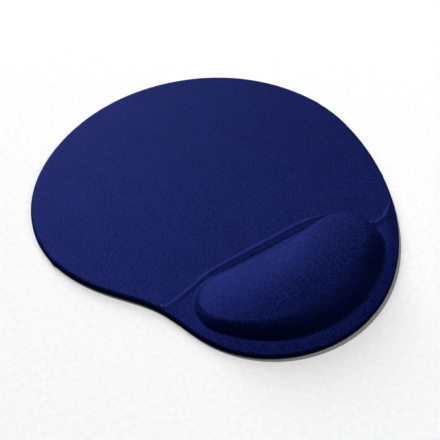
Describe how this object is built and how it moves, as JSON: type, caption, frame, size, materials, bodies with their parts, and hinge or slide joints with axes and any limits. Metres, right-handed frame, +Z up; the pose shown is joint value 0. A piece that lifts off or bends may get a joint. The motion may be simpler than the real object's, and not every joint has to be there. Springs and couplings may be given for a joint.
{
  "type": "mouse mat with gel wrist rest",
  "caption": "Low mouse mat with a bean-shaped gel wrist cushion welded into its narrow end, under one stretch-knit fabric cover on a thin non-slip base.",
  "frame": {"origin": "middle of the mat's overall width and depth, on the surface it rests on", "axes": "+Z up out of the table; +Y from the user's edge, where the cushion is, to the far edge; +X to the user's right"},
  "size_m": [0.22, 0.24, 0.021],
  "materials": {
    "knit_fabric": "fine warp knit, navy blue, soft matte with a faint sheen",
    "bonding_film": "milky hot-melt film",
    "pouch_film": "clear soft polyurethane film",
    "gel": "soft translucent gel",
    "foam": "fine closed-cell foam, black",
    "base_rubber": "matte non-slip, fine raised grip pattern"
  },
  "bodies": {
    "root": {"non_slip_base": "base_rubber", "base_bonding_film": "bonding_film", "foam_mat": "foam", "gel_pouch_lower_film": "pouch_film", "gel_core": "gel", "gel_pouch_upper_film": "pouch_film", "cover_bonding_film": "bonding_film", "fabric_cover": "knit_fabric"}
  },
  "joints": []
}
